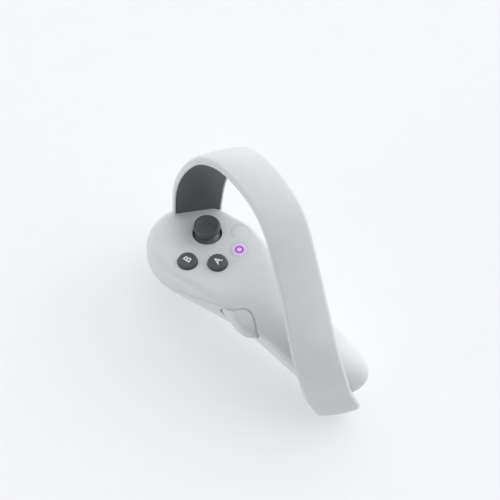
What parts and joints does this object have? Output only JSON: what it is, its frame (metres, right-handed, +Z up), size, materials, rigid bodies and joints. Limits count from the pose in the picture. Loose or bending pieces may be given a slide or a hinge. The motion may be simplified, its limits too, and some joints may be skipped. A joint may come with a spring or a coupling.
{
  "type": "vr motion controller",
  "caption": "Right-hand motion controller: flat round head with thumbstick and buttons, tapering handle with trigger and grip lever, and a swept tracking ring.",
  "frame": {"origin": "middle of the bounding box at the height of the surface it lies on", "axes": "+Y along the controller towards the front of its head, +Z up, +X to the user's right"},
  "size_m": [0.0608, 0.1564, 0.1147],
  "materials": {
    "pale_plastic": "fine matte",
    "dark_plastic": "soft-touch",
    "infrared_window": "dark and smooth",
    "inner_plastic": "moulded",
    "steel": "plain",
    "circuit_board": "satin",
    "violet_light": "lit",
    "cell_wrap": "wrapped"
  },
  "bodies": {
    "casing": {"top_shell": "pale_plastic", "bottom_shell": "pale_plastic", "ring_outer_shell": "pale_plastic", "ring_inner_window": "infrared_window", "ring_light_board": "circuit_board", "infrared_emitter_1": "inner_plastic", "infrared_emitter_2": "inner_plastic", "infrared_emitter_3": "inner_plastic", "infrared_emitter_4": "inner_plastic", "infrared_emitter_5": "inner_plastic", "infrared_emitter_6": "inner_plastic", "stick_module": "inner_plastic", "main_board": "circuit_board", "a_switch": "steel", "b_switch": "steel", "capture_switch": "steel", "home_switch": "steel", "trigger_pin": "steel", "trigger_spring": "steel", "trigger_bracket": "inner_plastic", "grip_pin": "steel", "grip_spring": "steel", "grip_bracket": "inner_plastic", "battery_left": "cell_wrap", "contact_spring_left": "steel", "battery_right": "cell_wrap", "contact_spring_right": "steel", "contact_plate_front": "steel", "contact_plate_rear": "steel", "battery_tray": "inner_plastic", "haptic_motor": "steel", "casing_screw_1": "steel", "casing_screw_2": "steel"},
    "fore_yoke": {"stick_yoke": "steel"},
    "tilting_dome": {"stick_dome": "dark_plastic"},
    "stick_cap": {"thumbstick_cap": "dark_plastic"},
    "button_a": {"a_button": "dark_plastic"},
    "button_b": {"b_button": "dark_plastic"},
    "button_capture": {"capture_button": "pale_plastic"},
    "button_home": {"home_button": "pale_plastic", "home_light_ring": "violet_light"},
    "trigger_lever": {"trigger": "pale_plastic"},
    "grip_lever": {"grip_button": "pale_plastic"},
    "cover": {"battery_cover": "pale_plastic"}
  },
  "joints": [
    {"name": "stick_tilt_fore", "type": "hinge", "parent": "casing", "child": "fore_yoke", "pos_m": [0.00672, 0.0462, 0.03268], "axis": [1, 0, 0], "range_deg": [-12.5, 12.5], "stiffness_Nm_per_rad": 0.02},
    {"name": "stick_tilt_side", "type": "hinge", "parent": "fore_yoke", "child": "tilting_dome", "pos_m": [0.00672, 0.0462, 0.03268], "axis": [0, 0.9724, -0.2334], "range_deg": [-12.5, 12.5], "stiffness_Nm_per_rad": 0.02},
    {"name": "stick_press", "type": "slide", "parent": "tilting_dome", "child": "stick_cap", "axis": [0, -0.2334, -0.9724], "range_m": [0, 0.0006], "stiffness_N_per_m": 2000, "springref_m": -0.0003},
    {"name": "a_press", "type": "slide", "parent": "casing", "child": "button_a", "axis": [0, -0.2334, -0.9724], "range_m": [0, 0.0012], "stiffness_N_per_m": 400, "springref_m": -0.0006},
    {"name": "b_press", "type": "slide", "parent": "casing", "child": "button_b", "axis": [0, -0.2334, -0.9724], "range_m": [0, 0.0012], "stiffness_N_per_m": 400, "springref_m": -0.0006},
    {"name": "capture_press", "type": "slide", "parent": "casing", "child": "button_capture", "axis": [0, -0.2334, -0.9724], "range_m": [0, 0.0005], "stiffness_N_per_m": 800, "springref_m": -0.00025},
    {"name": "home_press", "type": "slide", "parent": "casing", "child": "button_home", "axis": [0, -0.2334, -0.9724], "range_m": [0, 0.0005], "stiffness_N_per_m": 800, "springref_m": -0.00025},
    {"name": "trigger_pull", "type": "hinge", "parent": "casing", "child": "trigger_lever", "pos_m": [0.00012, 0.0589, 0.02603], "axis": [-1, 0, 0], "range_deg": [0, 15], "stiffness_Nm_per_rad": 0.06, "springref_deg": -20.05},
    {"name": "grip_squeeze", "type": "hinge", "parent": "casing", "child": "grip_lever", "pos_m": [-0.01678, 0.00881, 0.04186], "axis": [0, 0.2334, 0.9724], "range_deg": [0, 6], "stiffness_Nm_per_rad": 0.06, "springref_deg": -14.32},
    {"name": "cover_lift", "type": "slide", "parent": "casing", "child": "cover", "axis": [0, -0.2334, -0.9724], "range_m": [0, 0.009]}
  ]
}
